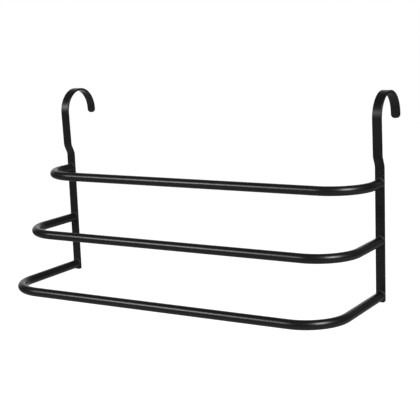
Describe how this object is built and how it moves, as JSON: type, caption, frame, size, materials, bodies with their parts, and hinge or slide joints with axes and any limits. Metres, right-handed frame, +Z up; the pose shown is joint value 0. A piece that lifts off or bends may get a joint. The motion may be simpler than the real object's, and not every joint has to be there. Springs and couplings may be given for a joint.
{
  "type": "triple towel bar",
  "caption": "Black steel towel rack: U-bent tubes of growing reach welded to flat straps with half-round hooks, to hang over a rail or a door.",
  "frame": {"origin": "on the axis of the half-round hook seats, midway between the two straps", "axes": "+X along the bars and the seat axis, +Z up as it hangs, the bars reach out towards -Y"},
  "size_m": [0.4102, 0.1844, 0.222],
  "materials": {
    "black_coat": "satin black powder coat on steel"
  },
  "bodies": {
    "root": {"left_hanger": "black_coat", "right_hanger": "black_coat", "top_bar": "black_coat", "middle_bar": "black_coat", "bottom_bar": "black_coat"}
  },
  "joints": []
}
